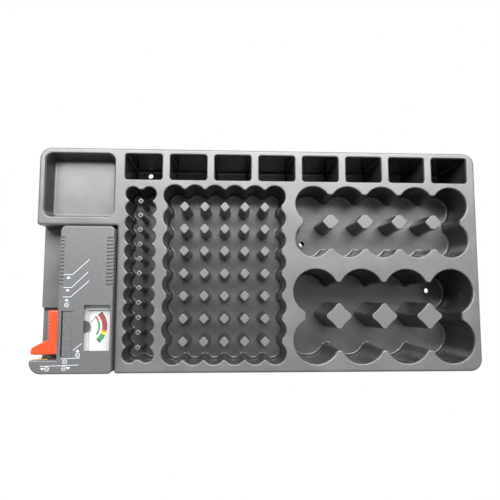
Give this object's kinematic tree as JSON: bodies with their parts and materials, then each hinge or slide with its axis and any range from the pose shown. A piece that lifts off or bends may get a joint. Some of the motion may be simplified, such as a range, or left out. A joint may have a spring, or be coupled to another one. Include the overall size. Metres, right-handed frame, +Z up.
{
  "type": "battery organiser tray",
  "caption": "Open moulded battery organiser tray with scalloped wells for round cells, square pockets, a coin-cell pocket, and a lift-out analogue battery tester with a sprung red arm",
  "frame": {"origin": "centre of the tray's footprint, on the underside", "axes": "+X along the length, +Y towards the nine-volt pockets, +Z up out of the wells"},
  "size_m": [0.3502, 0.176, 0.06],
  "materials": {
    "tray_plastic": "satin moulded plastic with a fine grain",
    "casing_plastic": "satin moulded plastic",
    "arm_plastic": "satin moulded plastic",
    "meter_plastic": "satin moulded plastic",
    "lens": "clear moulded acrylic",
    "dial_card": "printed card on a stiff plate",
    "steel": "zinc-plated steel",
    "copper": "tin-plated copper alloy",
    "coil_wire": "enamelled copper winding",
    "board": "phenolic laminate",
    "resistor": "lacquered ceramic body",
    "magnet": "cast magnet alloy",
    "needle_paint": "painted aluminium"
  },
  "bodies": {
    "tray": {"deck_panel": "tray_plastic", "screw_boss": "tray_plastic", "side_walls": "tray_plastic", "tester_ledge": "tray_plastic", "coin_pocket_walls": "tray_plastic", "coin_pocket_floor": "tray_plastic", "nine_volt_walls": "tray_plastic", "nine_volt_floors": "tray_plastic", "aaa_well_walls": "tray_plastic", "aaa_well_floor": "tray_plastic", "aaa_posts": "tray_plastic", "aa_well_walls": "tray_plastic", "aa_well_floor": "tray_plastic", "aa_posts": "tray_plastic", "c_well_walls": "tray_plastic", "c_well_floor": "tray_plastic", "c_posts": "tray_plastic", "d_well_walls": "tray_plastic", "d_well_floor": "tray_plastic", "d_posts": "tray_plastic"},
    "tester": {"tester_front_cover": "casing_plastic", "tester_back_cover": "casing_plastic", "meter_window": "lens", "case_screws": "steel", "nine_volt_contacts": "copper", "foot_contact": "copper", "circuit_board": "board", "load_resistors": "resistor", "slider_rail": "copper", "meter_frame": "meter_plastic", "meter_dial": "dial_card", "meter_yoke": "steel", "meter_magnet": "magnet", "bearing_bridge": "casing_plastic"},
    "arm": {"slider_arm": "arm_plastic", "toe_contact": "copper", "slider_brush": "copper", "slider_spring": "steel"},
    "needle": {"meter_needle": "needle_paint", "meter_coil": "coil_wire", "meter_spindle": "steel", "meter_hairspring": "copper"}
  },
  "joints": [
    {"name": "tester_lift_off", "type": "slide", "parent": "tray", "child": "tester", "axis": [0, 0, 1], "range_m": [0, 0.06]},
    {"name": "arm_slide", "type": "slide", "parent": "tester", "child": "arm", "axis": [0, 1, 0], "range_m": [0, 0.058], "stiffness_N_per_m": 50, "springref_m": -0.03, "deforming": ["slider_spring"]},
    {"name": "needle_swing", "type": "hinge", "parent": "tester", "child": "needle", "pos_m": [-0.13537, -0.0524, 0.053], "axis": [0, 0, 1], "range_deg": [-88, 0], "stiffness_Nm_per_rad": 0.00002}
  ]
}
